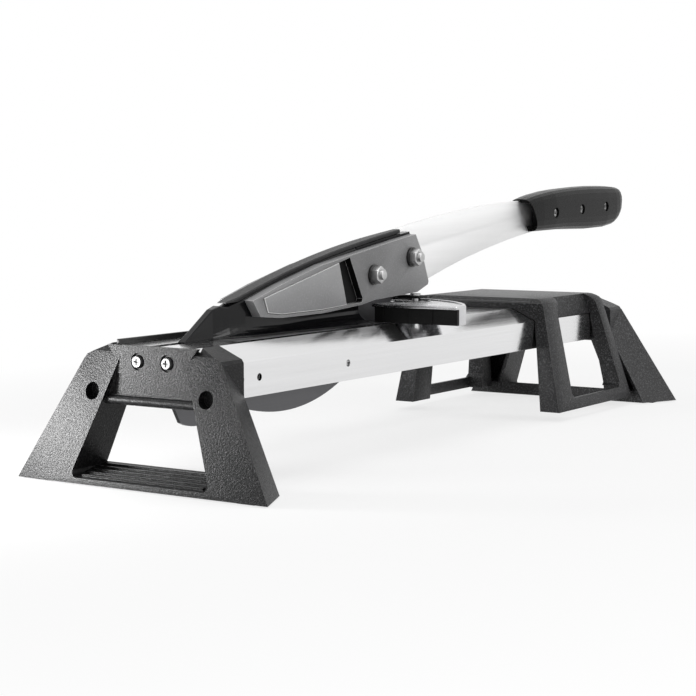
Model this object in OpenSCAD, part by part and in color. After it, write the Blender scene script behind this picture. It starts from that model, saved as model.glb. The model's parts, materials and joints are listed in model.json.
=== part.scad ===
/* [Beam] */
// Width of the beam across its upright side walls
beam_w = 121; // [112:1:130]
// Width of the flat on top of the beam
beam_top_w = 73.4; // [66:0.2:80]
// Height of the beam's underside above the floor
beam_z = 66.5; // [62:0.5:72]
// Height of the upright side walls
beam_side_h = 25.1; // [24:0.1:28]
// Height of the sloping shoulders
beam_slope_h = 11.1; // [9:0.1:13]
// Thickness of side walls and shoulders
beam_wall = 3; // [2:0.25:3.5]
// Thickness of the web under the cutting slot
beam_web = 6; // [5.5:0.25:7]
// Half the distance between the two inner ribs
rib_x = 13.7; // [13.4:0.1:15]
// Thickness of each inner rib
rib_t = 3; // [2.5:0.25:3.5]
// Width of the slot that the knife drops into
slot_w = 10; // [9.6:0.1:11]

/* [Feet] */
// Distance from front foot to rear foot, over both base edges
base_len = 690; // [680:1:720]
// Width of each foot along the floor
foot_w = 233; // [225:1:245]
// Depth of each foot along the floor
foot_d = 39; // [36:0.5:42]
// Depth that a foot gains where it takes the beam
socket_gain = 5.3; // [4:0.1:8]
// Lean of the outer face, sideways per unit of height
foot_lean = 0.208; // [0.15:0.01:0.24]
// Inward slope of the legs' outer sides per unit of height
leg_slope = 0.474; // [0.46:0.002:0.48]
// Inward taper of the legs' outer sides per unit of depth
leg_taper = 0.47; // [0.4:0.01:0.5]
// Half width of the carrying opening at floor level
opening_half_w = 67.25; // [60:0.25:70]
// Inward slope of the carrying opening's sides
opening_slope = 0.394; // [0.35:0.01:0.42]
// Height of the carrying opening's sill at the back
sill_h = 12.2; // [10:0.2:16]
// Height of the sill at the front
sill_front_h = 5; // [4:0.5:8]
// Diameter of the round wells in the legs
leg_hole_d = 13; // [10:0.5:14]
// Thickness of the panel that closes the beam's end
panel_t = 3.2; // [3:0.1:4]

/* [Knife and pivot] */
// Distance of the pivot behind the front foot's base edge
pivot_from_front = 67; // [66:0.5:70]
// Height of the pivot above the beam's underside
pivot_h = 13.5; // [13:0.1:14]
// Diameter of the pivot bolt and of the lever bolts
bolt_d = 8; // [7:0.5:8]
// Outer diameter of the pivot bush
bush_d = 13; // [12:0.1:13]
// Thickness of the knife
knife_t = 3; // [2:0.25:3.2]
// Radius of the knife's round heel
heel_r = 40; // [38:0.5:41]
// Distance of the heel's straight front edge from the pivot
heel_flat = 33.5; // [32:0.5:36]
// Radius of the knife's cutting edge
edge_r = 196.5; // [194:0.5:198]

/* [Lever] */
// Run of the lever from the pivot to the grip's middle part
lever_run = 573; // [560:1:590]
// Rise of the lever's back above the beam over that run
lever_rise = 100.8; // [96:0.2:106]
// Thickness of the steel arm
arm_t = 5; // [4:0.25:5.5]
// Half thickness of the shroud behind its cover plates
shroud_half_w = 8; // [7.75:0.25:9]
// Half width of the shroud's skirt where it is widest
skirt_half_w = 34; // [30:1:36]
// Thickness of each cover plate
cover_t = 8; // [6:0.5:9]
// Overall thickness of the grip
grip_w = 30; // [28:1:34]
// Length of the grip
grip_len = 218; // [210:1:230]

/* [Fence] */
// Length of the fence across the beam
fence_len = 194; // [180:2:200]
// Depth of the fence bar with its lip
fence_d = 16.3; // [14:0.1:17]
// Height of the fence bar
fence_h = 16.2; // [14:0.2:16.4]
// Distance of the fence's front face behind the front foot's base edge
fence_from_front = 285.5; // [284:0.5:290]
// Angle that the fence turns to each side
fence_turn = 30; // [20:5:30]

/* [Work support] */
// Place of the support in the free room from the fence to the rear foot, 0 at the fence and 1 at the foot
support_place_share = 0.98; // [0.8:0.01:0.99]
// Length of the support's top plate along the beam
support_len = 115; // [108:1:118]
// Thickness of the support's top plate
support_t = 9; // [7:0.5:9]
// Width over the support's two side frames
support_w = 177.4; // [170:0.2:190]

/* [Hidden] */

// Clearances
cut = 1;
seat_gap = 0.1;
run_gap = 0.3;
pivot_fit = 0.05;
stud_gap = 0.5;
$fn = 48;

// Heights that several pieces share
shoulder_z = beam_z + beam_side_h;
top_z = shoulder_z + beam_slope_h;
pivot_z = beam_z + pivot_h;

// Places along the tool; the origin is on the floor, midway between the front foot's base edge and the grip's end
pad_show = 1;
grip_before_run = 67;
grip_end_from_front = pivot_from_front + lever_run - grip_before_run + grip_len;
front_y = -(grip_end_from_front + foot_lean * pad_show) / 2;
rear_y = front_y + base_len;
pivot_y = front_y + pivot_from_front;
fence_y = front_y + fence_from_front;

// Beam section
lip_w = 10;
port_r = 4.2;
port_bore = 4.2;
port_drop = 11.5;
port_z = top_z - port_drop;
web_w = 2 * (rib_x + rib_t / 2) + 2 * beam_wall;
slot_past_fence = 48.5;
slot_end_y = fence_y + slot_past_fence;
side_hole_d = 5.6;
side_hole_z = pivot_z;
side_hole_far_gap = 115;
side_hole_near_gap = 21;

// Feet
panel_lip_r = 3.5;
panel_drop = 7.5;
panel_bottom_z = beam_z - panel_drop;
panel_top_drop = 9;
panel_y = foot_lean * (top_z - panel_top_drop);
socket_y = panel_y + panel_t;
beam_y = front_y + socket_y;
beam_len = base_len - 2 * socket_y;
ear_t = 3.3;
ear_half_w = 42;
ear_front_drop = 4.9;
ear_rise = 0.7;
ear_front_z = top_z - ear_front_drop;
corner_z = shoulder_z + ear_rise;
foot_top_d = foot_d + socket_gain;
sill_corner_r = 6;
sill_ribs = 5;
sill_rib_w = 2.4;
sill_rib_h = 1.2;
foot_wall = 3.5;
foot_skin = 3;
pad_h = 5;
pad_w = 15;
pad_d = 22;
pad_inset = 4;
plate_h = 15.5;
plate_depth = 0.8;
plate_end = 29;
plate_gap = 0.6;
foot_screw_head_d = 9.8;
foot_screw_head_h = 3;
foot_screw_len = 22;
screw_well_d = 12.4;
screw_well_depth = 1.5;
leg_hole_rise = 1.7;
leg_hole_z = beam_z + leg_hole_rise;
leg_hole_side = 12.6;
leg_turn = atan(leg_taper);
leg_tilt = atan(leg_slope * cos(leg_turn));
function opening_x(z) = opening_half_w - opening_slope * z;

// Strips on the beam
rail_w = 2.8;
rail_h = 3.8;
rail_x = -36;
rail_len = 235;
strip_y = pivot_y + 19;
strip_len = 204;
strip_t = 3;
counter_w = 23.2;
guide_w = 10;
counter_screw_shares = [0.11, 0.39, 0.73, 0.93];
counter_screw_x = 18;
counter_screw_d = 4;
counter_screw_head_d = 7;

// Knife
edge_share = [0.576, 0.792];
edge_c = [pivot_y + edge_share[0] * edge_r, pivot_z + edge_share[1] * edge_r];
knife_under = 5.5;
fin_gap = 1.5;
heel_turn = 30;

// Lever outline, as shares of its run behind the pivot and of its rise over the beam
back_shares = [
    [0.033, 0.225], [0.068, 0.281], [0.120, 0.361], [0.152, 0.409], [0.208, 0.489],
    [0.307, 0.606], [0.407, 0.697], [0.508, 0.772], [0.567, 0.818], [0.653, 0.881],
    [0.761, 0.940], [0.885, 0.981], [1, 1], [1.06, 1.005]
];
belly_shares = [
    [0.50, 0.176], [0.532, 0.223], [0.581, 0.298], [0.668, 0.420], [0.756, 0.522],
    [0.843, 0.606], [0.930, 0.672], [1, 0.711], [1.06, 0.74]
];
nose_shares = [
    [-0.026, 0.003], [-0.007, 0.074], [0.033, 0.225], [0.048, 0.247], [0.062, 0.262]
];
bolt_shares = [[0.384, 0.397], [0.4895, 0.521]];
function lever_pt(s) = [pivot_y + s[0] * lever_run, top_z + s[1] * lever_rise];
function lever_pts(shares) = [for (s = shares) lever_pt(s)];

// Smooth curve through a list of points, with extra points between each two
function curve(p, n) = concat(
    [for (i = [0:len(p) - 2], k = [0:n - 1])
        let (a = p[max(i - 1, 0)], b = p[i], c = p[i + 1], d = p[min(i + 2, len(p) - 1)], t = k / n)
        (2 * b + (c - a) * t + (2 * a - 5 * b + 4 * c - d) * t ^ 2
            + (3 * b - a - 3 * c + d) * t ^ 3) / 2],
    [p[len(p) - 1]]
);

back_line = curve(lever_pts(back_shares), 4);
belly_line = curve(lever_pts(belly_shares), 4);
nose_line = lever_pts(nose_shares);
function back_z(y) = lookup(y, back_line);
function between(line, a, b) = [for (p = line) if (p[0] >= a && p[0] <= b) p];

// Shroud
cap_h = 3.4;
cap_w = 12.6;
cap_y = pivot_y + 34;
cap_end_y = pivot_y + 281;
nose_half_w = 3;
skirt_edge_h = 1.2;
skirt_z = top_z + run_gap;
skirt_gap = 5;
skirt_end_y = fence_y - skirt_gap;
skirt_tail_z = top_z + fence_h + 2.6;
arm_gap = 0.1;
arm_start_y = pivot_y + 190;

// Draws a side outline, given as distances back and up, as a plate across the tool
module across(x, w) translate([x, 0, 0]) rotate([90, 0, 90]) linear_extrude(w) children();

// Draws a front outline, given as distances across and up, along the tool
module along(y, l) translate([0, y + l, 0]) rotate([90, 0, 0]) linear_extrude(l) children();

// Places what follows at the front foot, and turned to face the other way at the rear foot
module front_end() translate([0, front_y, 0]) children();
module rear_end() translate([0, rear_y, 0]) mirror([0, 1, 0]) children();

// Closed solid through a row of rings that have the same number of points
module loft(rings) {
    n = len(rings[0]);
    last = len(rings) - 1;
    sides = [for (i = [0:last - 1], j = [0:n - 1], k = [0, 1])
        let (a = i * n + j, b = i * n + (j + 1) % n)
        k == 0 ? [a, b, b + n] : [a, b + n, a + n]];
    ends = [[for (j = [n - 1:-1:0]) j], [for (j = [0:n - 1]) last * n + j]];
    polyhedron([for (r = rings) each r], concat(sides, ends), convexity = 8);
}

// Hexagonal nut or bolt head lying across the tool
module hex_across(af, h) rotate([0, 90, 0]) cylinder(d = af / cos(30), h = h, $fn = 6);

// Cylinder lying across the tool
module pin_across(d, l) rotate([0, 90, 0]) cylinder(d = d, h = l);

// Mirrored outline of half a symmetric section
module both_halves(pts) polygon(concat(pts, [for (i = [len(pts) - 1:-1:0]) [-pts[i][0], pts[i][1]]]));

module beam_outline(grow = 0) both_halves([
    [beam_w / 2 + grow, beam_z - grow],
    [beam_w / 2 + grow, shoulder_z + grow / 2],
    [beam_top_w / 2 + grow / 2, top_z + grow]
]);

module beam_section() {
    slope_x = (beam_w - beam_top_w) / 2;
    difference() {
        beam_outline();
        both_halves([
            [beam_w / 2 - beam_wall - lip_w, beam_z - cut],
            [beam_w / 2 - beam_wall - lip_w, beam_z + beam_wall],
            [beam_w / 2 - beam_wall, beam_z + beam_wall],
            [beam_w / 2 - beam_wall, shoulder_z - beam_wall / 2],
            [beam_top_w / 2 - beam_wall, shoulder_z - beam_wall / 2 + beam_slope_h * (slope_x + beam_wall) / slope_x
                - beam_wall],
            [web_w / 2, top_z - beam_wall - cut],
            [web_w / 2, top_z - beam_web],
        ]);
    }
    for (s = [-1, 1]) {
        translate([s * rib_x - rib_t / 2, beam_z + beam_wall]) square([rib_t, top_z - beam_web - beam_z - beam_wall + cut]);
        translate([s * rib_x, port_z]) circle(r = port_r);
    }
}
module beam() color("silver") difference() {
    along(beam_y, beam_len) difference() {
        beam_section();
        for (s = [-1, 1]) translate([s * rib_x, port_z]) circle(d = port_bore, $fn = 24);
    }
    translate([-slot_w / 2, beam_y - cut, top_z - beam_web - cut]) cube([slot_w, slot_end_y - beam_y + cut, beam_web + 2 * cut]);
    translate([-slot_w / 2 - guide_w, strip_y, top_z - strip_t])
        cube([guide_w + slot_w + counter_w, strip_len, strip_t + cut]);
    for (y = [pivot_y - side_hole_near_gap, pivot_y, pivot_y + side_hole_far_gap], s = [0, 1])
        translate([s * (beam_w - 2 * beam_wall) - beam_w / 2 - cut / 2, y, side_hole_z])
            pin_across(side_hole_d, beam_wall * 2);
    for (s = [-1, 1]) translate([s * rib_x - rib_t, pivot_y, pivot_z])
        pin_across(bolt_d + 2 * pivot_fit, 2 * rib_t);
}

// Thin strips on and in the beam's top
module left_rail() color("dimgray")
    translate([rail_x, beam_y, top_z]) cube([rail_w, rail_len, rail_h]);

module counter_screw_places() {
    for (s = counter_screw_shares) translate([counter_screw_x, strip_y + s * strip_len, top_z - strip_t])
        children();
}
module counter_blade() color("darkgray") difference() {
    translate([knife_t / 2 + run_gap, strip_y, top_z - strip_t]) cube([counter_w, strip_len, strip_t]);
    counter_screw_places() {
        translate([0, 0, -cut]) cylinder(d = counter_screw_d, h = strip_t + 2 * cut);
        translate([0, 0, strip_t / 2]) cylinder(d = counter_screw_head_d, h = strip_t);
    }
}
module counter_blade_screws() color("gainsboro") counter_screw_places() {
    cylinder(d = counter_screw_d - seat_gap, h = strip_t / 2);
    translate([0, 0, strip_t / 2]) difference() {
        cylinder(d = counter_screw_head_d - seat_gap, h = strip_t / 2);
        translate([0, 0, strip_t / 4]) cylinder(d = counter_screw_d / 2, h = strip_t, $fn = 6);
    }
}
module blade_guide() color("black")
    translate([-knife_t / 2 - run_gap - guide_w, strip_y, top_z - strip_t]) cube([guide_w, strip_len, strip_t]);

// Feet
module foot_front_outline() {
    ear_drop = (beam_w / 2 - ear_half_w) * beam_slope_h * 2 / (beam_w - beam_top_w);
    both_halves([
        [foot_w / 2, pad_show],
        [foot_w / 2, corner_z],
        [beam_w / 2 + ear_t, corner_z],
        [beam_w / 2 + ear_t / 2, shoulder_z + ear_t],
        [ear_half_w, shoulder_z + ear_t + ear_drop],
        [ear_half_w, top_z],
    ]);
}
module foot_side_outline() {
    polygon([
        [foot_lean * pad_show, pad_show],
        [foot_d, pad_show],
        [foot_top_d, beam_z - ear_t],
        [foot_top_d, top_z + ear_t],
        [socket_y + ear_t, top_z + ear_t / 2],
        [foot_lean * ear_front_z, ear_front_z],
    ]);
}

// Room inside the slanting outer side of one leg
module leg_side(m, inset) mirror([m, 0, 0]) translate([foot_w / 2 - inset, 0, pad_show])
    rotate([0, -leg_tilt, leg_turn]) translate([-2 * foot_w, -foot_w, -foot_w])
        cube([2 * foot_w, 2 * foot_w, 2 * foot_w]);
module foot_block() intersection() {
    along(-cut, foot_top_d + 2 * cut) foot_front_outline();
    across(-foot_w, 2 * foot_w) foot_side_outline();
    union() {
        intersection() {
            leg_side(0, 0);
            leg_side(1, 0);
        }
        translate([-beam_w / 2 - ear_t, 0, beam_z - ear_t]) cube([beam_w + 2 * ear_t, foot_w, foot_w]);
    }
}
module foot_opening_outline() {
    r = sill_corner_r;
    zb = sill_front_h - cut;
    both_halves(concat(
        [for (a = [0:22.5:90]) [opening_x(zb + r) - r + r * sin(a), zb + r - r * cos(a)]],
        [[opening_x(top_z + cut), top_z + cut]]
    ));
}
module sill() {
    w = opening_x(sill_front_h) + foot_wall;
    across(-w, 2 * w) polygon([
        [foot_lean * sill_front_h / 2, sill_front_h / 2], [foot_lean * sill_front_h, sill_front_h],
        [foot_d, sill_h], [foot_d, sill_front_h / 2]
    ]);
    for (i = [1:sill_ribs]) {
        k = i / (sill_ribs + 1);
        rib_w = opening_x(sill_h) - sill_corner_r;
        translate([-rib_w, k * foot_d - sill_rib_w / 2, sill_front_h + k * (sill_h - sill_front_h) - sill_rib_h])
            cube([2 * rib_w, sill_rib_w, 2 * sill_rib_h]);
    }
}

// Hollow in the back of one leg, inside its skin and the opening's wall
module leg_pocket(m) intersection() {
    leg_side(m, foot_skin);
    mirror([m, 0, 0]) along(0, 2 * foot_d) polygon([
        [opening_x(sill_h) + foot_wall, sill_h], [foot_w, sill_h],
        [foot_w, beam_z - 2 * foot_wall], [opening_x(beam_z - 2 * foot_wall) + foot_wall, beam_z - 2 * foot_wall]
    ]);
    across(-foot_w, 2 * foot_w) polygon([
        [foot_lean * sill_h + 2 * foot_wall, sill_h], [2 * foot_d, sill_h], [2 * foot_d, beam_z - 2 * foot_wall],
        [foot_lean * beam_z + 2 * foot_wall, beam_z - 2 * foot_wall]
    ]);
}
module foot_panel() {
    w = opening_x(panel_bottom_z) + foot_wall / 2;
    plate_z = beam_z;
    difference() {
        union() {
            along(panel_y, panel_t) both_halves([
                [w, panel_bottom_z + panel_lip_r],
                [opening_x(shoulder_z) + foot_wall / 2, shoulder_z],
                [ear_half_w, top_z],
            ]);
            translate([-w, panel_y, panel_bottom_z + panel_lip_r]) pin_across(2 * panel_lip_r, 2 * w);
        }
        along(panel_y - cut, cut + plate_depth) polygon([
            [-opening_x(plate_z) + plate_gap, plate_z], [plate_end, plate_z],
            [plate_end, plate_z + plate_h], [-opening_x(plate_z + plate_h) + plate_gap, plate_z + plate_h]
        ]);
    }
}
module foot() {
    difference() {
        union() {
            difference() {
                foot_block();
                along(-2 * cut, 2 * foot_d) foot_opening_outline();
                along(socket_y, foot_top_d) both_halves([
                    [ear_half_w, top_z - beam_slope_h], [ear_half_w, top_z + beam_slope_h]
                ]);
                for (m = [0, 1]) leg_pocket(m);
            }
            foot_panel();
            sill();
        }
        along(socket_y, 2 * foot_d) beam_outline(seat_gap);
        along(socket_y, 2 * foot_d) both_halves([[ear_half_w, panel_bottom_z - cut], [ear_half_w, beam_z]]);
        for (s = [-1, 1]) {
            translate([s * (opening_x(leg_hole_z) + leg_hole_side), -cut, leg_hole_z]) rotate([-90, 0, 0])
                cylinder(d = leg_hole_d, h = cut + socket_y - foot_wall / 2);
            translate([s * rib_x, panel_y - cut, port_z]) rotate([-90, 0, 0]) {
                cylinder(d = port_bore + 2 * stud_gap, h = panel_t + 2 * cut);
                cylinder(d = screw_well_d, h = cut + screw_well_depth);
            }
        }
        pad_places() translate([0, 0, -pad_show]) pad(seat_gap, pad_h);
    }
}
module front_foot() color([0.22, 0.22, 0.23]) front_end() foot();
module rear_foot() color([0.22, 0.22, 0.23]) rear_end() foot();

module foot_screw() {
    rotate([-90, 0, 0]) {
        cylinder(d = port_bore - seat_gap, h = foot_screw_len);
        translate([0, 0, -foot_screw_head_h]) difference() {
            cylinder(d1 = foot_screw_head_d * 0.8, d2 = foot_screw_head_d, h = foot_screw_head_h);
            for (a = [0, 90]) rotate(a) translate([-foot_screw_head_d / 4, -foot_screw_head_d / 16, -cut])
                cube([foot_screw_head_d / 2, foot_screw_head_d / 8, cut + foot_screw_head_h / 2]);
        }
    }
}
module foot_screws() {
    for (s = [-1, 1]) translate([s * rib_x, panel_y + screw_well_depth, port_z]) foot_screw();
}
module front_foot_screws() color("gainsboro") front_end() foot_screws();
module rear_foot_screws() color("gainsboro") rear_end() foot_screws();

module pad_places() {
    x = foot_w / 2 - leg_taper * (pad_inset + pad_d) - pad_inset / 2 - pad_w / 2;
    for (s = [-1, 1]) translate([s * x, pad_inset + pad_d / 2, 0]) children();
}
module pad(grow, h) {
    translate([-pad_w / 2 - grow, -pad_d / 2 - grow, 0]) cube([pad_w + 2 * grow, pad_d + 2 * grow, h]);
}
module foot_pads() color("black") {
    front_end() pad_places() pad(0, pad_h - pad_show);
    rear_end() pad_places() pad(0, pad_h - pad_show);
}

// Pivot
washer_t = 1.2;
bush_half_l = rib_x - rib_t / 2 - washer_t - 2 * seat_gap;
bolt_head_h = bolt_d;
bolt_head_d = bolt_d * 1.625;
nut_h = bolt_d * 0.8125;
nut_af = bolt_d * 1.625;
module pivot_bolt() color("silver") translate([0, pivot_y, pivot_z]) {
    outer = rib_x + rib_t / 2;
    translate([-outer - nut_h - cut, 0, 0]) pin_across(bolt_d, 2 * outer + nut_h + cut);
    translate([outer, 0, 0]) difference() {
        pin_across(bolt_head_d, bolt_head_h);
        translate([bolt_head_h / 2, 0, 0]) hex_across(bolt_d * 0.75, bolt_head_h);
    }
}
module pivot_nut() color("silver") translate([-rib_x - rib_t / 2 - nut_h, pivot_y, pivot_z]) difference() {
    hex_across(nut_af, nut_h);
    translate([-cut, 0, 0]) pin_across(bolt_d, nut_h + 2 * cut);
}
module pivot_washers() color("silver") translate([0, pivot_y, pivot_z]) {
    for (s = [-1, 1]) translate([s * (bush_half_l + seat_gap + washer_t / 2) - washer_t / 2, 0, 0]) difference() {
        pin_across(bush_d, washer_t);
        translate([-cut, 0, 0]) pin_across(bolt_d + 2 * pivot_fit, washer_t + 2 * cut);
    }
}
module pivot_bush() color("darkgoldenrod") translate([-bush_half_l, pivot_y, pivot_z]) difference() {
    pin_across(bush_d, 2 * bush_half_l);
    translate([-cut, 0, 0]) pin_across(bolt_d + 2 * pivot_fit, 2 * bush_half_l + 2 * cut);
}

// Knife
module knife_outline(grow = 0) {
    front_slope = (nose_line[2][1] - nose_line[0][1]) / (nose_line[2][0] - nose_line[0][0]);
    drop = fin_gap - grow;
    low_y = pivot_y - heel_r - cut;
    top_line = between(back_line, nose_line[3][0], pivot_y + 0.508 * lever_run);
    end_y = lever_pt(bolt_shares[1])[0] + 1.5 * bolt_d + grow;
    intersection() {
        union() {
            translate([pivot_y, pivot_z]) intersection() {
                circle(r = heel_r + grow, $fn = 96);
                rotate(heel_turn) translate([-heel_flat - grow, -2 * heel_r]) square([4 * heel_r, 4 * heel_r]);
            }
            translate(edge_c) circle(r = edge_r + grow, $fn = 240);
            translate([lever_pt(bolt_shares[0])[0], lever_pt(bolt_shares[0])[1] - 2 * bolt_d - grow])
                square([end_y - lever_pt(bolt_shares[0])[0], 4 * bolt_d]);
        }
        polygon(concat(
            [[low_y, nose_line[0][1] - drop - (nose_line[0][0] - low_y) * front_slope],
             [nose_line[2][0], nose_line[2][1] - drop]],
            [for (p = top_line) if (p[0] < end_y) [p[0], p[1] - knife_under - cap_h + grow]],
            [[end_y, back_z(end_y) - knife_under - cap_h + grow],
             [end_y, lever_pt(bolt_shares[0])[1] - 2 * bolt_d - grow],
             [end_y, pivot_z - edge_r], [low_y, pivot_z - edge_r]]
        ));
    }
}
module lever_bolt_holes() {
    for (s = bolt_shares) translate(concat([-2 * skirt_half_w], lever_pt(s)))
        pin_across(bolt_d + 2 * seat_gap, 4 * skirt_half_w);
}
module knife() color([0.35, 0.36, 0.37]) difference() {
    across(-knife_t / 2, knife_t) knife_outline();
    translate([-knife_t, pivot_y, pivot_z]) pin_across(bush_d, 2 * knife_t);
    lever_bolt_holes();
}

// Arm
module arm_outline(grow = 0) {
    upper = between(back_line, cap_end_y, lever_pt([1.06, 0])[0]);
    lower = between(belly_line, lever_pt([0.54, 0])[0], lever_pt([1.06, 0])[0]);
    tail_h = grip_w * 0.75;
    end_z = lever_pt(back_shares[len(back_shares) - 1])[1];
    polygon(concat(
        [[arm_start_y - grow, back_z(arm_start_y) - 8 * fin_gap + grow]],
        [[cap_end_y - cut, back_z(cap_end_y) - cap_h - fin_gap]],
        upper,
        [[arm_end_y + grow, end_z - grip_w / 6 + grow], [arm_end_y + grow, end_z - grip_w / 6 - tail_h - grow]],
        [for (i = [len(lower) - 1:-1:0]) lower[i]],
        [[lever_pt(bolt_shares[0])[0], lever_pt(bolt_shares[0])[1] - 2 * bolt_d - grow],
         [arm_start_y - grow, back_z(arm_start_y) - 8 * fin_gap - 2 * bolt_d]]
    ));
}
module lever_arm() color([0.8, 0.8, 0.81]) difference() {
    across(-knife_t / 2 - arm_t, arm_t) arm_outline();
    lever_bolt_holes();
    grip_screw_places() translate([-grip_w, 0, 0]) pin_across(grip_screw_d + 2 * seat_gap, 2 * grip_w);
}

// Shroud
skirt_w_shares = [
    [-0.03, 0.094], [0.037, 0.11], [0.058, 0.235], [0.096, 0.44], [0.150, 0.48],
    [0.209, 0.62], [0.326, 0.88], [0.354, 1], [0.40, 1]
];
body_w_shares = [[-0.03, 0.38], [0.033, 0.41], [0.062, 0.7], [0.096, 1], [1, 1]];
crease_h = 11.3;
crease_shares = [
    [-0.03, 3], [0.022, 2], [0.030, 1.35], [0.054, 1], [0.112, 0.82], [0.178, 0.73], [0.241, 0.91], [0.4, 0.95]
];
flare_steps = 5;
edge_round = 1.5;
shroud_steps = 20;
function share_of(y) = (y - pivot_y) / lever_run;
function shroud_top(y) = y < nose_line[4][0] ? lookup(y, nose_line) : back_z(y) - cap_h;
function shroud_ring(y) =
    let (zt = shroud_top(y), zb = skirt_z, h = zt - zb, s = share_of(y),
         w0 = skirt_half_w * lookup(s, skirt_w_shares), wr = shroud_half_w * lookup(s, body_w_shares),
         z1 = zb + min(skirt_edge_h, h / 5), e = min(edge_round, h / 6),
         zc = min(top_z + crease_h * lookup(s, crease_shares), zt - 2 * e))
    concat(
        [[0, y, zb], [w0, y, zb], [w0, y, z1]],
        [for (i = [1:flare_steps]) let (t = 90 * i / flare_steps)
            [wr + (w0 - wr) * (1 - sin(t)), y, z1 + (zc - z1) * (1 - cos(t))]],
        [[wr, y, zt - e], [wr - e / 2, y, zt - e / 4], [wr - e, y, zt], [0, y, zt]]
    );
tail_shares = [
    [0.36, 0.19], [0.424, 0.19], [0.508, 0.205], [0.541, 0.27], [0.5435, 0.30], [0.524, 0.57], [0.506, 0.73]
];
module shroud_half() {
    stations = concat(
        [for (i = [0:3]) nose_line[i][0] + (i == 0 ? cut / 2 : 0)],
        [for (i = [0:shroud_steps]) nose_line[4][0] + i * (skirt_end_y - nose_line[4][0]) / shroud_steps]
    );
    difference() {
        union() {
            loft([for (y = stations) shroud_ring(y)]);
            across(0, shroud_half_w) polygon(concat(
                lever_pts(tail_shares),
                [for (i = [0:12]) let (y = lever_pt([0.506, 0])[0] - i * (lever_pt([0.146, 0])[0] - pivot_y) / 12)
                    [y, shroud_top(y)]],
                [[lever_pt([0.36, 0])[0], back_z(lever_pt([0.36, 0])[0]) - 4 * cap_h]]
            ));
        }
        translate([0, 0, top_z - cut]) linear_extrude(skirt_tail_z - top_z + cut) polygon([
            [0, skirt_end_y], [2 * skirt_half_w, skirt_end_y - 2 * skirt_half_w * tan(fence_turn)],
            [2 * skirt_half_w, skirt_end_y + lever_run], [-cut, skirt_end_y + lever_run], [-cut, skirt_end_y]
        ]);
        across(-cut, cut + knife_t / 2 + arm_gap) knife_outline(seat_gap);
    }
}
module shroud_right() color([0.1, 0.1, 0.1]) difference() {
    shroud_half();
    lever_bolt_holes();
}
module shroud_left() color([0.1, 0.1, 0.1]) difference() {
    mirror([1, 0, 0]) shroud_half();
    across(-knife_t / 2 - arm_t - arm_gap, arm_t + arm_gap + knife_t) arm_outline(seat_gap);
    lever_bolt_holes();
}
cap_steps = 20;
function cap_half_w(y) = cap_w / 2
    * (y == cap_y ? 0.7 : lookup(y, [[cap_y, 1], [fence_y, 1], [cap_end_y, 0.62]]));
function cap_ring(y) =
    let (w = cap_half_w(y), e = cap_h / 4, zb = shroud_top(y) + run_gap,
         zt = max(back_z(y), zb + cap_h / 2) - (y == cap_y ? e : 0))
    [[-w, y, zb], [w, y, zb], [w, y, zt - e], [w - e, y, zt], [-w + e, y, zt], [-w, y, zt - e]];
module spine_cap() color([0.2, 0.2, 0.2])
    loft([for (i = [0:cap_steps]) cap_ring(cap_y + i * (cap_end_y - cap_y) / cap_steps)]);

// Cover plates
cover_shares = [
    [0.0908, 0.276], [0.1536, 0.377], [0.2513, 0.507], [0.3141, 0.563], [0.4564, 0.681], [0.5019, 0.715],
    [0.5195, 0.562], [0.5393, 0.302], [0.5373, 0.274], [0.5061, 0.216], [0.4241, 0.196], [0.3892, 0.188],
    [0.3525, 0.158], [0.2548, 0.124], [0.1571, 0.123], [0.1082, 0.147]
];
window_shares = [
    [0.1131, 0.287], [0.3225, 0.553], [0.3553, 0.209], [0.3525, 0.178], [0.2548, 0.144], [0.1571, 0.143], [0.123, 0.164]
];
inlay_shares = [[0.118, 0.288], [0.2967, 0.515], [0.3159, 0.168], [0.2548, 0.150], [0.1571, 0.149], [0.127, 0.169]];
window_depth = 3;
groove_depth = 6;
inlay_t = 2.4;
module cover() {
    difference() {
        across(shroud_half_w, cover_t) polygon(lever_pts(cover_shares));
        across(shroud_half_w + cover_t - window_depth, window_depth + cut) polygon(lever_pts(window_shares));
        across(shroud_half_w + cover_t - groove_depth, groove_depth + cut) polygon(lever_pts([
            inlay_shares[1] + [0.002, 0.006], window_shares[1], window_shares[2], window_shares[3],
            inlay_shares[2] + [0.002, 0.002]
        ]));
        lever_bolt_holes();
    }
}
module inlay() across(shroud_half_w + cover_t - window_depth, inlay_t) polygon(lever_pts(inlay_shares));
module cover_right() color([0.25, 0.25, 0.26]) cover();
module cover_left() color([0.25, 0.25, 0.26]) mirror([1, 0, 0]) cover();
module inlay_right() color([0.3, 0.3, 0.31]) inlay();
module inlay_left() color([0.3, 0.3, 0.31]) mirror([1, 0, 0]) inlay();

// Lever bolts
lever_washer_d = 2 * bolt_d + cut;
lever_washer_t = 1.6;
lever_face_x = shroud_half_w + cover_t;
bolt_end = 3;
module lever_bolts() color("silver") for (s = bolt_shares) translate(concat([0], lever_pt(s))) {
    translate([-lever_face_x - lever_washer_t, 0, 0])
        pin_across(bolt_d, 2 * (lever_face_x + lever_washer_t) + nut_h + bolt_end);
    translate([-lever_face_x - lever_washer_t - nut_h, 0, 0]) hex_across(nut_af, nut_h);
}
module lever_washers() color("silver") for (s = bolt_shares, side = [0, 1])
    translate(concat([side * (2 * lever_face_x + lever_washer_t) - lever_face_x - lever_washer_t], lever_pt(s)))
        difference() {
            pin_across(lever_washer_d, lever_washer_t);
            translate([-cut, 0, 0]) pin_across(bolt_d, lever_washer_t + 2 * cut);
        }
module lever_nuts() color("silver") for (s = bolt_shares)
    translate(concat([lever_face_x + lever_washer_t], lever_pt(s))) difference() {
        hex_across(nut_af, nut_h);
        translate([-cut, 0, 0]) pin_across(bolt_d, nut_h + 2 * cut);
    }

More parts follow.
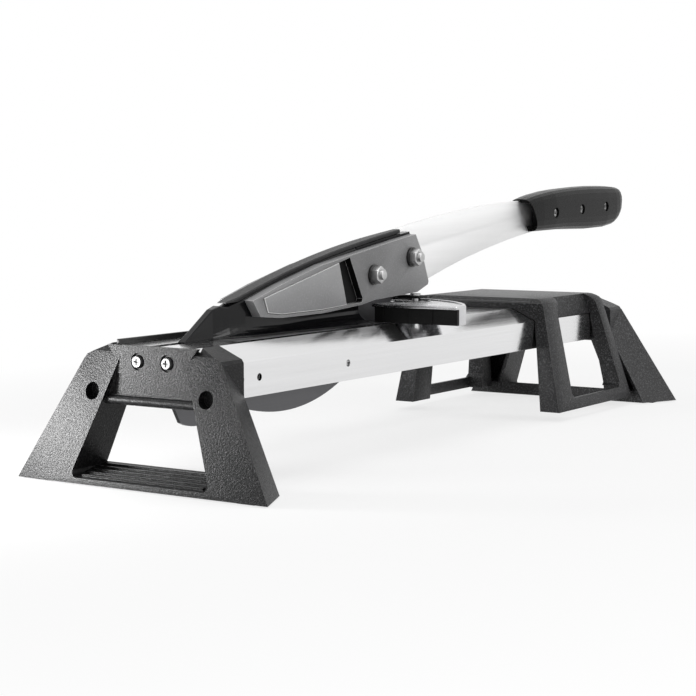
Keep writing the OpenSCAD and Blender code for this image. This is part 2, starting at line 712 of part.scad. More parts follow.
// Grip
grip_h = 44.5;
grip_y = pivot_y + lever_run - grip_before_run;
arm_end_gap = 21;
arm_end_y = grip_y + grip_len - arm_end_gap;
grip_z = top_z + lever_rise - 32.5;
grip_shares = [
    [0, 0.72, 0, 0.85], [0.06, 0.78, 0, 0.9], [0.124, 0.83, 0, 0.95], [0.24, 0.9, 0.01, 1], [0.353, 0.944, 0.02, 1],
    [0.5, 0.98, 0.01, 1], [0.638, 1, 0, 1], [0.78, 1, 0.02, 1], [0.88, 0.99, 0.08, 0.98], [0.92, 0.975, 0.16, 0.94],
    [0.95, 0.955, 0.27, 0.85], [0.982, 0.876, 0.43, 0.65], [1, 0.76, 0.65, 0.3]
];
grip_screw_shares = [[0.234, 0.409], [0.5, 0.47], [0.757, 0.515]];
grip_screw_d = 4;
grip_recess_d = 10;
grip_recess_depth = 4;
collar_w = 22;
collar_depth = 27;
grip_ring_n = 10;
grip_front_shares = [[-0.02, -0.05], [0.09, -0.05], [0, 0.75], [-0.02, 0.8]];
module grip_screw_places() {
    for (s = grip_screw_shares) translate([0, grip_y + s[0] * grip_len, grip_z + s[1] * grip_h]) children();
}
function half_ring(g) =
    let (y = grip_y + g[0] * grip_len, zt = grip_z + g[1] * grip_h, zb = grip_z + g[2] * grip_h,
         w = g[3] * grip_w / 2, m = (zt + zb) / 2, h = (zt - zb) / 2)
    [for (i = [0:grip_ring_n]) let (a = -90 + 180 * i / grip_ring_n, c = cos(a), d = sin(a))
        [w * pow(abs(c), 0.6), y, m + h * sign(d) * pow(abs(d), 0.75)]];
module grip_half() {
    difference() {
        loft([for (g = grip_shares) half_ring(g)]);
        across(-cut, grip_w) polygon([for (s = grip_front_shares) [grip_y + s[0] * grip_len, grip_z + s[1] * grip_h]]);
        across(-cut, collar_w / 2 + cut) polygon([for (s = [[-0.05, 0.12], [collar_depth / grip_len, 0.12],
            [collar_depth / grip_len, 0.66], [-0.05, 0.62]]) [grip_y + s[0] * grip_len, grip_z + s[1] * grip_h]]);
        grip_screw_places() {
            translate([-cut, 0, 0]) pin_across(grip_screw_d + 2 * seat_gap, grip_w);
            translate([grip_w / 2 - grip_recess_depth, 0, 0]) pin_across(grip_recess_d, grip_w);
        }
    }
}
module grip_right() color([0.13, 0.13, 0.13]) grip_half();
module grip_left() color([0.13, 0.13, 0.13]) difference() {
    mirror([1, 0, 0]) grip_half();
    across(-knife_t / 2 - arm_t - arm_gap, arm_t + arm_gap + knife_t) arm_outline(seat_gap);
}
module grip_screws() color("silver") grip_screw_places() {
    x = grip_w / 2 - grip_recess_depth;
    translate([-x, 0, 0]) pin_across(grip_screw_d, 2 * x);
    translate([x, 0, 0]) difference() {
        pin_across(grip_recess_d * 0.8, grip_recess_depth / 2);
        translate([grip_recess_depth / 4, 0, 0]) hex_across(grip_screw_d * 0.75, grip_recess_depth);
    }
}
module grip_nuts() color("silver") grip_screw_places() translate([-grip_w / 2 + grip_recess_depth / 2, 0, 0]) {
    difference() {
        hex_across(grip_recess_d * 0.7, grip_recess_depth / 2);
        translate([-cut, 0, 0]) pin_across(grip_screw_d, grip_recess_depth);
    }
}

// Fence
fence_z = top_z + run_gap;
fence_back = 4.8;
fence_lip = 3;
fence_pivot_gap = 19.5;
fence_pivot_y = fence_y + fence_pivot_gap;
web_inset = 2.3;
arc_sag = 62.5;
arc_r = (pow(fence_len / 2, 2) + pow(arc_sag, 2)) / (2 * arc_sag);
arc_y = fence_y + fence_d - web_inset + arc_sag - arc_r;
web_top_drop = 1.2;
web_t = 4;
web_rim = 3;
slot_r = 50;
stud_d = 6;
stud_x = 17;
stud_y = fence_pivot_y + sqrt(slot_r ^ 2 - stud_x ^ 2);
stud_angle = asin(stud_x / slot_r);
notch_near = 14.8;
notch_far = 22.6;
notch_len = 56;
facing_t = 2.9;
facing_rib_w = 1.2;
facing_rib_pitch = 24;
clamp_w = 50;
clamp_d = 14;
clamp_t = 2.2;
clamp_screw_d = 4;
clamp_head_d = 9;
clamp_head_h = 1.8;
module fence_slot() {
    w = stud_d + 2 * stud_gap;
    a = fence_turn + stud_angle + asin(w / 2 / slot_r);
    far = 2 * slot_r;
    translate([0, fence_pivot_y, 0]) intersection() {
        difference() {
            circle(r = slot_r + w / 2, $fn = 180);
            circle(r = slot_r - w / 2, $fn = 180);
        }
        polygon([[0, 0], [far * sin(a), far * cos(a)], [far * sin(a / 2), far],
            [-far * sin(a / 2), far], [-far * sin(a), far * cos(a)]]);
    }
}
module fence_arc(r) intersection() {
    translate([0, arc_y]) circle(r = r, $fn = 180);
    translate([-fence_len / 2 + cut / 2, fence_y + fence_back + cut]) square([fence_len - cut, 2 * arc_sag]);
}
module fence_notch() polygon([
    [-notch_near, fence_y - cut], [notch_near, fence_y - cut],
    [notch_far, fence_y + notch_len], [-notch_far, fence_y + notch_len]
]);
module fence_pocket() intersection() {
    translate([0, arc_y]) circle(r = arc_r - web_rim, $fn = 180);
    translate([-fence_len / 2, fence_y + fence_d]) square([fence_len, 2 * arc_sag]);
}
module fence() color([0.75, 0.75, 0.76]) difference() {
    top = fence_h - run_gap;
    union() {
        translate([-fence_len / 2, 0, fence_z]) across(0, fence_len) polygon([
            [fence_y, top], [fence_y + fence_d, top], [fence_y + fence_d, 0], [fence_y + fence_back, 0],
            [fence_y + fence_back, top - fence_lip], [fence_y, top - fence_lip]
        ]);
        translate([0, 0, fence_z + cut / 2]) linear_extrude(top - web_top_drop - cut / 2) fence_arc(arc_r);
        translate([0, 0, fence_z + cut / 2]) linear_extrude(top - cut / 2) difference() {
            fence_arc(arc_r);
            translate([0, arc_y]) circle(r = arc_r - web_rim, $fn = 180);
        }
    }
    translate([0, 0, fence_z - cut]) linear_extrude(top - web_top_drop - web_t + cut) fence_pocket();
    translate([0, 0, fence_z - cut]) linear_extrude(2 * fence_h) fence_notch();
    translate([0, 0, fence_z - cut]) linear_extrude(2 * fence_h) fence_slot();
}
module fence_facing(s) color([0.12, 0.12, 0.12]) {
    l = fence_len / 2 - notch_near - 2 * cut;
    h = fence_h - run_gap - fence_lip;
    translate([s > 0 ? notch_near + 2 * cut : -fence_len / 2, fence_y + fence_back - facing_t, fence_z]) cube([l, facing_t, h]);
    for (i = [1:3]) translate([s * (fence_len / 2 - i * facing_rib_pitch) - facing_rib_w / 2, fence_y + fence_back - facing_t - facing_rib_w / 2, fence_z])
        cube([facing_rib_w, facing_rib_w, h]);
}
module fence_facing_left() fence_facing(-1);
module fence_facing_right() fence_facing(1);
module stud_places() for (s = [-1, 1]) translate([s * stud_x, stud_y, 0]) children();
clamp_z = fence_z + fence_h + stud_gap;
module fence_studs() color("silver") stud_places() difference() {
    translate([0, 0, top_z]) cylinder(d = stud_d, h = clamp_z - top_z);
    translate([0, 0, top_z + cut]) cylinder(d = clamp_screw_d, h = fence_h * 2);
}
module fence_clamp() color([0.1, 0.1, 0.1]) difference() {
    translate([-clamp_w / 2, stud_y - clamp_d / 2, clamp_z]) cube([clamp_w, clamp_d, clamp_t]);
    stud_places() translate([0, 0, clamp_z - cut]) cylinder(d = clamp_screw_d, h = clamp_t + 2 * cut);
}
module fence_clamp_screws() color("silver") stud_places() {
    translate([0, 0, top_z + cut]) cylinder(d = clamp_screw_d, h = clamp_z + clamp_t - top_z - cut);
    translate([0, 0, clamp_z + clamp_t]) cylinder(d = clamp_head_d, h = clamp_head_h);
}

// Work support
support_lift = 8.5;
support_foot_y = 7;
support_foot_len = 156.2;
fence_back_y = fence_y + fence_d - web_inset + arc_sag;
rear_foot_y = rear_y - foot_d - socket_gain;
support_room = rear_foot_y - fence_back_y - support_foot_len;
support_y = fence_back_y + support_place_share * support_room + support_foot_y;
support_knuckle = 4;
support_round = 10;
frame_top_w = 24;
frame_foot_w = 32;
frame_rear_w = 20;
frame_rear_top_w = 5;
frame_corner_r = 8;
frame_bar_h = 10.5;
frame_bar_t = 5;
frame_inner_w = 138;
frame_side_gap = 0.7;
support_lip = 6;
support_lip_h = 3;
module support_outer_section() {
    z1 = top_z + run_gap + support_t;
    both_halves([
        [support_w / 2, support_lift],
        for (a = [12:13:90]) [beam_w / 2 - cut + support_round * cos(a), z1 - support_round * (1 - sin(a))],
    ]);
}
module support_inner_section() {
    g = frame_side_gap;
    both_halves([
        [frame_inner_w / 2, support_lift - cut],
        [beam_w / 2 + g, shoulder_z - beam_slope_h / 2],
        [beam_w / 2 + g, shoulder_z + g / 2],
        [beam_top_w / 2 + g / 2, top_z + run_gap],
    ]);
}
module support_side_outline() {
    z1 = top_z + run_gap + support_t;
    k = support_knuckle;
    polygon([
        [support_y - support_foot_y, support_lift], [support_y - k / 2, z1 - k], [support_y + k / 2, z1],
        [support_y + support_len - k, z1], [support_y + support_len + k, z1 - k],
        [support_y + support_len + 2 * k, z1 - 3 * k], [support_y - support_foot_y + support_foot_len, support_lift]
    ]);
}
module support_opening_outline() {
    z0 = support_lift + frame_bar_h;
    z1 = top_z + support_t + cut;
    y0 = support_y - support_foot_y + frame_foot_w;
    y1 = support_y - support_foot_y + support_foot_len - frame_rear_w;
    r = frame_corner_r;
    polygon([
        [y0 + r / 2, z0], [y0, z0 + r / 2], [support_y + frame_top_w, z1 - 2 * r],
        [support_y + frame_top_w + r / 4, z1 - r], [support_y + frame_top_w + r, z1],
        [support_y + support_len - frame_rear_top_w - 2 * r, z1], [support_y + support_len - frame_rear_top_w - r / 2, z1 - r],
        [support_y + support_len - frame_rear_top_w, z1 - 2 * r], [y1, z0 + r / 2], [y1 - r / 2, z0]
    ]);
}
module work_support() color([0.2, 0.2, 0.21]) difference() {
    intersection() {
        along(support_y - 2 * support_foot_y, 2 * support_foot_len) difference() {
            support_outer_section();
            support_inner_section();
        }
        across(-support_w, 2 * support_w) support_side_outline();
    }
    for (s = [0, 1]) mirror([s, 0, 0]) {
        across(beam_w / 2, support_w) support_opening_outline();
        across(0, support_w / 2 - frame_bar_t) polygon([
            [support_y + frame_foot_w - support_foot_y, 0],
            [support_y + frame_foot_w - support_foot_y, support_lift + frame_bar_h + cut],
            [support_y - support_foot_y + support_foot_len - frame_rear_w, support_lift + frame_bar_h + cut],
            [support_y - support_foot_y + support_foot_len - frame_rear_w, 0]
        ]);
    }
    across(-beam_w / 2 + support_lip, beam_w - 2 * support_lip) polygon([
        [support_y - support_lip, top_z + support_t + run_gap - support_lip_h],
        [support_y + support_lip / 3, top_z + support_t + run_gap - support_lip_h],
        [support_y + support_lip, top_z + support_t + run_gap + cut / 8],
        [support_y - support_lip, top_z + support_t + run_gap + cut / 8]
    ]);
}

beam();
left_rail();
counter_blade();
counter_blade_screws();
blade_guide();
front_foot();
rear_foot();
front_foot_screws();
rear_foot_screws();
foot_pads();
pivot_bolt();
pivot_nut();
pivot_washers();
fence_studs();
fence_clamp();
fence_clamp_screws();
fence();
fence_facing_left();
fence_facing_right();
knife();
pivot_bush();
lever_arm();
shroud_right();
shroud_left();
spine_cap();
cover_right();
cover_left();
inlay_right();
inlay_left();
lever_bolts();
lever_washers();
lever_nuts();
grip_right();
grip_left();
grip_screws();
grip_nuts();
work_support();
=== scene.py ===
"""Looks of the laminate cutter: finishes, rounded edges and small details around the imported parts."""
import json
import math

import bmesh
import bpy
from mathutils import Matrix, Vector

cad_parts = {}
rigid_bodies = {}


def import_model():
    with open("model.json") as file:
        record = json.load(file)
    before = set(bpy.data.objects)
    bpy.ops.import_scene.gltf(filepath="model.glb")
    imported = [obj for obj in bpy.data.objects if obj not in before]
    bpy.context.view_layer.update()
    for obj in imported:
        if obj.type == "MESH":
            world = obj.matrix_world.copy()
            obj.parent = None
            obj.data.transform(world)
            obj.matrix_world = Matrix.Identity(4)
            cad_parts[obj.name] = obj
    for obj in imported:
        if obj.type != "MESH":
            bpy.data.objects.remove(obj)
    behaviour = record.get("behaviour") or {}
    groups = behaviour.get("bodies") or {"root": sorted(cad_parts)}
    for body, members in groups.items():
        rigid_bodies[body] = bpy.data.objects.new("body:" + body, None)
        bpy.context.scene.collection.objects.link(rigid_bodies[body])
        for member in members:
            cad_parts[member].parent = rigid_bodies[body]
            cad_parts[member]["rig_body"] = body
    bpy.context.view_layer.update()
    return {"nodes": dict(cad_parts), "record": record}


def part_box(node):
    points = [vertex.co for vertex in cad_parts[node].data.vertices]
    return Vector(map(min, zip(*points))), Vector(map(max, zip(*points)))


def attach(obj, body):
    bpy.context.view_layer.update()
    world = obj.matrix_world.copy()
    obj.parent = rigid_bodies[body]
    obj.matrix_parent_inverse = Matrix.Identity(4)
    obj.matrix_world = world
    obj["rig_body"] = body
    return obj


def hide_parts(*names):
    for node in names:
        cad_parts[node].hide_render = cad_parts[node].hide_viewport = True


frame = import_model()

NODES = frame["nodes"]
SLOT_OF = {part["node"]: part["material_slot"] for part in frame["record"]["subparts"]}
MM = 0.001

# Camera that matches the photo: its place in metres, its turns, and the photo's width and focal length
PHOTO_PX = 696
FOCAL_PX = 1736.9
SENSOR_MM = 36.0
CAMERA_AT = (0.8077, -1.3274, 0.2178)
YAW, PITCH, ROLL = math.radians(33.86), math.radians(5.37), math.radians(-0.25)
CLIP_END = 50

# Floor, in metres. Camera, mirror and glass rays also see it glow: GLOW_NEAR is the share of glow inside an
# oval that reaches GLOW_FROM along the tool and less across it, and GLOW_FAR the share from GLOW_TO on
FLOOR_HALF = 6.0
FLOOR_COLOR = (0.88, 0.88, 0.88)
GLOW_NEAR, GLOW_FAR = 0.72, 1.0
GLOW_FROM, GLOW_TO = 0.55, 1.1
GLOW_STRETCH = (1.6, 1, 1)

# World: its light on the tool, and the background that camera, mirror and glass rays see
WHITE = (1, 1, 1, 1)
WORLD_LIGHT = 0.35
BACKGROUND_LIGHT = 1.0

# Lamps: place, the point that each faces, width and height, all in metres, and power in watts
AIM = (0, -0.045, 0.1)
LAMPS = {
    "low_left_box": ((-0.26, -0.54, 0.07), (-0.11, -0.39, 0.02), (0.1, 0.1), 2.3),
    "left_box": ((-1.5, -0.9, 1.4), AIM, (1.0, 1.0), 6),
    "right_box": ((1.9, 0.5, 0.9), AIM, (1.0, 1.2), 18),
    "top_box": ((0.1, 0.2, 2.0), AIM, (1.4, 1.8), 14),
}

# How far each node's edges are rounded, in millimetres; nodes not named here stay as they are
EDGE_MM = {
    "front_foot": 0.8, "rear_foot": 0.8, "work_support": 0.9, "cover_right": 0.7, "cover_left": 0.7,
    "beam": 0.3, "fence": 0.5, "lever_arm": 0.3, "inlay_right": 0.6, "inlay_left": 0.6, "left_rail": 0.3,
    "lever_nuts": 0.4, "lever_bolts": 0.4, "fence_clamp": 0.4,
}
BEVEL_SEGMENTS = 2
BEVEL_FROM_DEG = 35
# Points nearer than WELD are joined, and faces that meet at less than FLAT_DEG
WELD = 0.01 * MM
FLAT_DEG = 1
# Faces that meet at less than SMOOTH_DEG are shaded as one surface; nodes with wide flat faces need less
SMOOTH_DEG = 32
CRISP_DEG = {"beam": 12, "front_foot": 18, "rear_foot": 18}

# Depths of the inlay's window and of the groove beside it, from a cover's outer face, and the slack in both
COVERS = ("cover_right", "cover_left")
WINDOW_DEPTH = 3 * MM
GROOVE_DEPTH = 6 * MM
TOUCH = 0.05 * MM

# Round holes in the beam's side walls, in metres: places along the beam, height, diameter and depth
SIDE_HOLES_Y = (-0.3495, -0.3285, -0.2135)
SIDE_HOLE_Z = 80 * MM
SIDE_HOLE_D = 5.6 * MM
SIDE_HOLE_DEPTH = 2.4 * MM
HOLE_SEGMENTS = 32

# The Mix node's colour sockets, which share their names with its other sockets
MIX_A, MIX_B, MIX_RESULT = 6, 7, 2
# Most noise lies between these two values
NOISE_LOW, NOISE_HIGH = 0.3, 0.7
# Pointiness is 0.5 on a flat face and higher on an outer edge
EDGE_LOW, EDGE_HIGH = 0.52, 0.6
# Noise drawn out into lines along the tool, by grinding or by an extrusion die
GROUND_LINES = (1, 0.02, 1)
EXTRUDED_LINES = (1, 0.012, 1)


class Finish:
    """One procedural material: a Principled shader and short calls for the nodes that feed it."""

    def __init__(self, name, color, rough, metallic=0.0, specular=0.5):
        self.mat = bpy.data.materials.new(name)
        self.mat.use_nodes = True
        self.tree = self.mat.node_tree
        self.shader = self.tree.nodes["Principled BSDF"]
        self.shader.inputs["Base Color"].default_value = (*color, 1)
        self.shader.inputs["Metallic"].default_value = metallic
        self.shader.inputs["Roughness"].default_value = rough
        self.shader.inputs["Specular IOR Level"].default_value = specular
        self.coords = self.node("ShaderNodeTexCoord").outputs["Object"]
        self.normal = None

    def node(self, kind, **settings):
        made = self.tree.nodes.new(kind)
        for key, value in settings.items():
            setattr(made, key, value)
        return made

    def join(self, source, target):
        self.tree.links.new(source, target)

    def feed(self, value, target):
        """Gives a socket a number, a colour or another node's output."""
        if isinstance(value, (int, float)):
            target.default_value = value
        elif isinstance(value, tuple):
            target.default_value = (*value, 1)
        else:
            self.join(value, target)

    def stretched(self, stretch):
        """Object coordinates, multiplied along each axis."""
        mapping = self.node("ShaderNodeMapping")
        mapping.inputs["Scale"].default_value = stretch
        self.join(self.coords, mapping.inputs["Vector"])
        return mapping.outputs["Vector"]

    def noise(self, scale, detail=3.0, rough=0.55, stretch=(1, 1, 1)):
        made = self.node("ShaderNodeTexNoise")
        made.inputs["Scale"].default_value = scale
        made.inputs["Detail"].default_value = detail
        made.inputs["Roughness"].default_value = rough
        self.join(self.stretched(stretch), made.inputs["Vector"])
        return made.outputs["Fac"]

    def span(self, value, low=NOISE_LOW, high=NOISE_HIGH, out_low=0.0, out_high=1.0):
        """Maps the stretch from low to high onto the one from out_low to out_high."""
        made = self.node("ShaderNodeMapRange")
        made.inputs["From Min"].default_value = low
        made.inputs["From Max"].default_value = high
        made.inputs["To Min"].default_value = out_low
        made.inputs["To Max"].default_value = out_high
        self.join(value, made.inputs["Value"])
        return made.outputs["Result"]

    def math(self, kind, a, b):
        made = self.node("ShaderNodeMath", operation=kind)
        self.feed(a, made.inputs[0])
        self.feed(b, made.inputs[1])
        return made.outputs[0]

    def mix(self, factor, a, b):
        """Goes from a to b as the factor goes from 0 to 1."""
        made = self.node("ShaderNodeMix", data_type="RGBA")
        self.join(factor, made.inputs["Factor"])
        self.feed(a, made.inputs[MIX_A])
        self.feed(b, made.inputs[MIX_B])
        return made.outputs[MIX_RESULT]

    def bump(self, height, distance, strength=1.0):
        """Adds relief, distance metres deep, to what was added before."""
        made = self.node("ShaderNodeBump")
        made.inputs["Distance"].default_value = distance
        made.inputs["Strength"].default_value = strength
        self.join(height, made.inputs["Height"])
        if self.normal is not None:
            self.join(self.normal, made.inputs["Normal"])
        self.normal = made.outputs["Normal"]
        self.join(self.normal, self.shader.inputs["Normal"])

    def set(self, socket, value):
        self.join(value, self.shader.inputs[socket])

    def edge(self):
        """1 on outer edges and 0 on flat faces."""
        geometry = self.node("ShaderNodeNewGeometry")
        return self.span(geometry.outputs["Pointiness"], EDGE_LOW, EDGE_HIGH)


def grey(value, more_blue=0.0):
    return (value, value, value + more_blue)


def tone(color, gain):
    """A colour made so many times lighter, up to white."""
    return tuple(min(1.0, channel * gain) for channel in color)


def moulded(name, color, rough, grain=1100.0, depth=0.12 * MM, glint=3.0, edge_highlight=1.8, specular=0.3):
    """Moulded plastic with a spark-eroded grain, faint flow marks, lighter specks that are painted glints of
    the grain's sparkle, and lighter outer edges that are painted highlights.

    grain and depth are the grain's noise scale and its height. The next two numbers say how many times
    lighter than the colour the painted glints and the painted edge highlights are.
    """
    finish = Finish(name, color, rough, specular=specular)
    fine = finish.noise(grain, detail=2.0, rough=0.6)
    flow = finish.noise(9.0)
    # Lighter specks in the grain: painted glints
    glints = finish.span(finish.noise(grain * 0.8, detail=1.0), low=0.5, high=0.72)
    # Lighter outer edges: painted highlights
    highlight_mask = finish.math("MULTIPLY", finish.edge(), 0.6)
    base = finish.mix(finish.span(flow), tone(color, 0.85), tone(color, 1.15))
    base = finish.mix(glints, base, tone(color, glint))
    finish.set("Base Color", finish.mix(highlight_mask, base, tone(color, edge_highlight)))
    finish.set("Roughness", finish.span(fine, out_low=rough - 0.08, out_high=rough + 0.1))
    finish.bump(fine, depth)
    return finish.mat


def glossy_moulded(name, color, rough):
    """Smooth satin plastic with faint waviness, hairline scuffs and lighter outer edges that are painted
    highlights.
    """
    finish = Finish(name, color, rough, specular=0.2)
    wave = finish.noise(14.0, detail=2.0)
    scratches = finish.noise(60.0, detail=5.0, rough=0.7, stretch=(1, 6, 1))
    scuffs = finish.math("MULTIPLY", finish.span(scratches, low=0.45, high=0.75), 0.12)
    # Lighter outer edges: painted highlights
    highlight_mask = finish.math("MULTIPLY", finish.edge(), 0.4)
    base = finish.mix(finish.span(wave), tone(color, 0.85), tone(color, 1.2))
    finish.set("Base Color", finish.mix(highlight_mask, base, tone(color, 3.0)))
    finish.set("Roughness", finish.math("ADD", scuffs, rough))
    finish.bump(wave, 0.6 * MM, strength=0.25)
    finish.bump(finish.noise(420.0, detail=2.0), 0.03 * MM, strength=0.5)
    return finish.mat


def ground_metal(name, color, rough, depth=0.03 * MM, shade=0.1, metallic=1.0):
    """Steel with fine lines from a belt grinder; shade says how much darker its dark lines are."""
    finish = Finish(name, color, rough, metallic=metallic)
    lines = finish.noise(260.0, detail=4.0, rough=0.7, stretch=GROUND_LINES)
    cloud = finish.span(finish.noise(7.0), low=0.35, high=0.75, out_high=0.25)
    base = finish.mix(finish.span(lines), tone(color, 1 - shade), tone(color, 1 + shade / 2))
    finish.set("Base Color", finish.mix(cloud, base, tone(color, 1 - 2 * shade)))
    shine = finish.span(lines, low=0.25, high=0.75, out_low=rough - 0.06, out_high=rough + 0.06)
    finish.set("Roughness", shine)
    finish.bump(lines, depth)
    return finish.mat


def plated(name, color, rough):
    """Cloudy metal of small turned and pressed parts, plated or bare."""
    finish = Finish(name, color, rough, metallic=1.0)
    cloud = finish.noise(300.0)
    finish.set("Base Color", finish.mix(finish.span(cloud), tone(color, 0.85), tone(color, 1.1)))
    finish.set("Roughness", finish.span(cloud, out_low=rough - 0.06, out_high=rough + 0.08))
    finish.bump(finish.noise(900.0), 0.02 * MM)
    return finish.mat


def anodised(name, color, rough):
    """Anodised aluminium: a fine even bloom over faint extrusion lines."""
    finish = Finish(name, color, rough, metallic=1.0)
    lines = finish.noise(420.0, stretch=EXTRUDED_LINES)
    bloom = finish.noise(1500.0, detail=1.0)
    cloud = finish.span(finish.noise(5.0, detail=2.0), out_high=0.4)
    base = finish.mix(finish.span(lines), tone(color, 0.96), tone(color, 1.03))
    finish.set("Base Color", finish.mix(cloud, base, tone(color, 0.93)))
    finish.set("Roughness", finish.span(lines, out_low=rough - 0.05, out_high=rough + 0.05))
    finish.bump(lines, 0.02 * MM)
    finish.bump(bloom, 0.02 * MM, strength=0.6)
    return finish.mat


# Finishes of the record's material slots
# The coarse grain has strong painted glints
COARSE_GRAIN = {"grain": 900.0, "depth": 0.28 * MM, "glint": 7.0}
MATERIALS = {
    "anodised_aluminium": anodised("anodised_aluminium", grey(0.77, 0.005), 0.14),
    "fence_aluminium": anodised("fence_aluminium", grey(0.62, 0.01), 0.24),
    "rail_plastic": moulded("rail_plastic", grey(0.012), 0.4, depth=0.04 * MM, specular=0.2),
    "guide_plastic": moulded("guide_plastic", grey(0.005), 0.45, depth=0.05 * MM, specular=0.15),
    "foot_plastic": moulded("foot_plastic", grey(0.005, 0.0002), 0.34, specular=0.14, **COARSE_GRAIN),
    "pad_rubber": moulded("pad_rubber", grey(0.012), 0.75),
    "blade_steel": ground_metal("blade_steel", grey(0.45, 0.01), 0.3),
    "knife_steel": ground_metal("knife_steel", grey(0.12, 0.005), 0.4),
    "arm_steel": ground_metal("arm_steel", grey(0.82), 0.5, depth=0.01 * MM, shade=0.03, metallic=0.6),
    "zinc_steel": plated("zinc_steel", grey(0.46), 0.34),
    "bush_brass": plated("bush_brass", (0.60, 0.43, 0.18), 0.3),
    "shroud_plastic": glossy_moulded("shroud_plastic", grey(0.004, 0.0005), 0.16),
    "cap_plastic": moulded("cap_plastic", grey(0.012, 0.0005), 0.4, grain=900.0, specular=0.2),
    # The cover's outer edges get strong painted highlights
    "cover_plastic": moulded("cover_plastic", grey(0.16, 0.002), 0.4, depth=0.06 * MM, glint=1.35, edge_highlight=3.0),
    "grip_plastic": moulded("grip_plastic", grey(0.003), 0.28, grain=1400.0, depth=0.06 * MM, specular=0.1),
}

# Finishes of parts of a node: painted shade in the groove round a cover's inlay, and painted highlights on
# rounded rims
GROOVE_SHADE = moulded("groove_painted_shade", grey(0.002), 0.5, depth=0.03 * MM, specular=0.1)
RIM_HIGHLIGHT_COVER = moulded("cover_rim_highlight", grey(0.6), 0.3, depth=0.03 * MM, glint=1.2)
RIM_HIGHLIGHT_BLACK = moulded("black_rim_highlight", grey(0.06), 0.4, depth=0.06 * MM, glint=1.8)
RIM_HIGHLIGHT_OF = {
    "cover_right": RIM_HIGHLIGHT_COVER, "cover_left": RIM_HIGHLIGHT_COVER, "inlay_right": RIM_HIGHLIGHT_COVER, "inlay_left": RIM_HIGHLIGHT_COVER,
    "front_foot": RIM_HIGHLIGHT_BLACK, "rear_foot": RIM_HIGHLIGHT_BLACK, "work_support": RIM_HIGHLIGHT_BLACK,
}

# Finishes of nodes that differ from the rest of their slot
# A lighter copy of the feet's plastic for the support and the rear foot: painted light on their faces
SUPPORT_PLASTIC_PAINTED_LIGHT = moulded("support_plastic_painted_light", grey(0.011, 0.0005), 0.36, specular=0.2, **COARSE_GRAIN)
NODE_FINISH = {
    "work_support": SUPPORT_PLASTIC_PAINTED_LIGHT,
    "rear_foot": SUPPORT_PLASTIC_PAINTED_LIGHT,
    "lever_washers": plated("dark_zinc", grey(0.07), 0.3),
    # A darker copy of the zinc for the front foot's screws
    "front_foot_screws": plated("screw_zinc_darker", grey(0.16), 0.42),
}


def own_finish(node):
    return NODE_FINISH.get(node, MATERIALS[SLOT_OF[node]])


def finishes_of(node):
    """A node's own finish, then the painted shade of its groove and the painted highlight of its rims where
    it has them.
    """
    finishes = [own_finish(node)]
    if node in COVERS:
        finishes.append(GROOVE_SHADE)
    if node in RIM_HIGHLIGHT_OF:
        finishes.append(RIM_HIGHLIGHT_OF[node])
    return finishes


def link(obj):
    bpy.context.scene.collection.objects.link(obj)
    return obj


def body_of_node(node):
    return NODES[node]["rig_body"]


def bake_modifiers(obj):
    """Gives an object the mesh that its modifiers make of the one it has."""
    view = bpy.context.evaluated_depsgraph_get()
    mesh = bpy.data.meshes.new_from_object(obj.evaluated_get(view))
    obj.modifiers.clear()
    obj.data = mesh


def join_flat_faces(mesh):
    """Joins doubled points, and faces that lie in one plane."""
    work = bmesh.new()
    work.from_mesh(mesh)
    bmesh.ops.remove_doubles(work, verts=work.verts, dist=WELD)
    bmesh.ops.dissolve_limit(work, angle_limit=math.radians(FLAT_DEG), verts=work.verts, edges=work.edges)
    work.to_mesh(mesh)
    work.free()


def smooth(mesh, degrees):
    """Shades a mesh smooth, with sharp edges where its faces meet at more than the given angle."""
    work = bmesh.new()
    work.from_mesh(mesh)
    for face in work.faces:
        face.smooth = True
    for edge in work.edges:
        if len(edge.link_faces) == 2:
            edge.smooth = edge.calc_face_angle(0) < math.radians(degrees)
    work.to_mesh(mesh)
    work.free()


def drill(piece, at, diameter, depth):
    """Cuts a round hole along X, with its middle at the given point."""
    cutter = bpy.data.meshes.new("cutter")
    work = bmesh.new()
    along_x = Matrix.Translation(at) @ Matrix.Rotation(math.radians(90), 4, "Y")
    radius = diameter / 2
    bmesh.ops.create_cone(work, cap_ends=True, segments=HOLE_SEGMENTS, radius1=radius, radius2=radius,
                          depth=depth, matrix=along_x)
    work.to_mesh(cutter)
    work.free()
    tool = link(bpy.data.objects.new("cutter", cutter))
    cut = piece.modifiers.new("hole", "BOOLEAN")
    cut.operation = "DIFFERENCE"
    cut.solver = "EXACT"
    cut.object = tool
    bake_modifiers(piece)
    bpy.data.objects.remove(tool)


def drill_beam(piece):
    """Opens the side holes, since those in the solid's right wall stop just short of its outer face."""
    side_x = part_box("beam")[1][0]
    for y in SIDE_HOLES_Y:
        for side in (-1, 1):
            drill(piece, (side * side_x, y, SIDE_HOLE_Z), SIDE_HOLE_D, 2 * SIDE_HOLE_DEPTH)


def paint_groove_shade(mesh, finish_index):
    """Gives the deep band beside a cover's inlay the groove's near-black finish: painted shade."""
    outer = max(abs(vertex.co.x) for vertex in mesh.vertices)
    for face in mesh.polygons:
        nearest = min(abs(mesh.vertices[index].co.x) for index in face.vertices)
        if outer - GROOVE_DEPTH - TOUCH < nearest < outer - WINDOW_DEPTH - TOUCH:
            face.material_index = finish_index


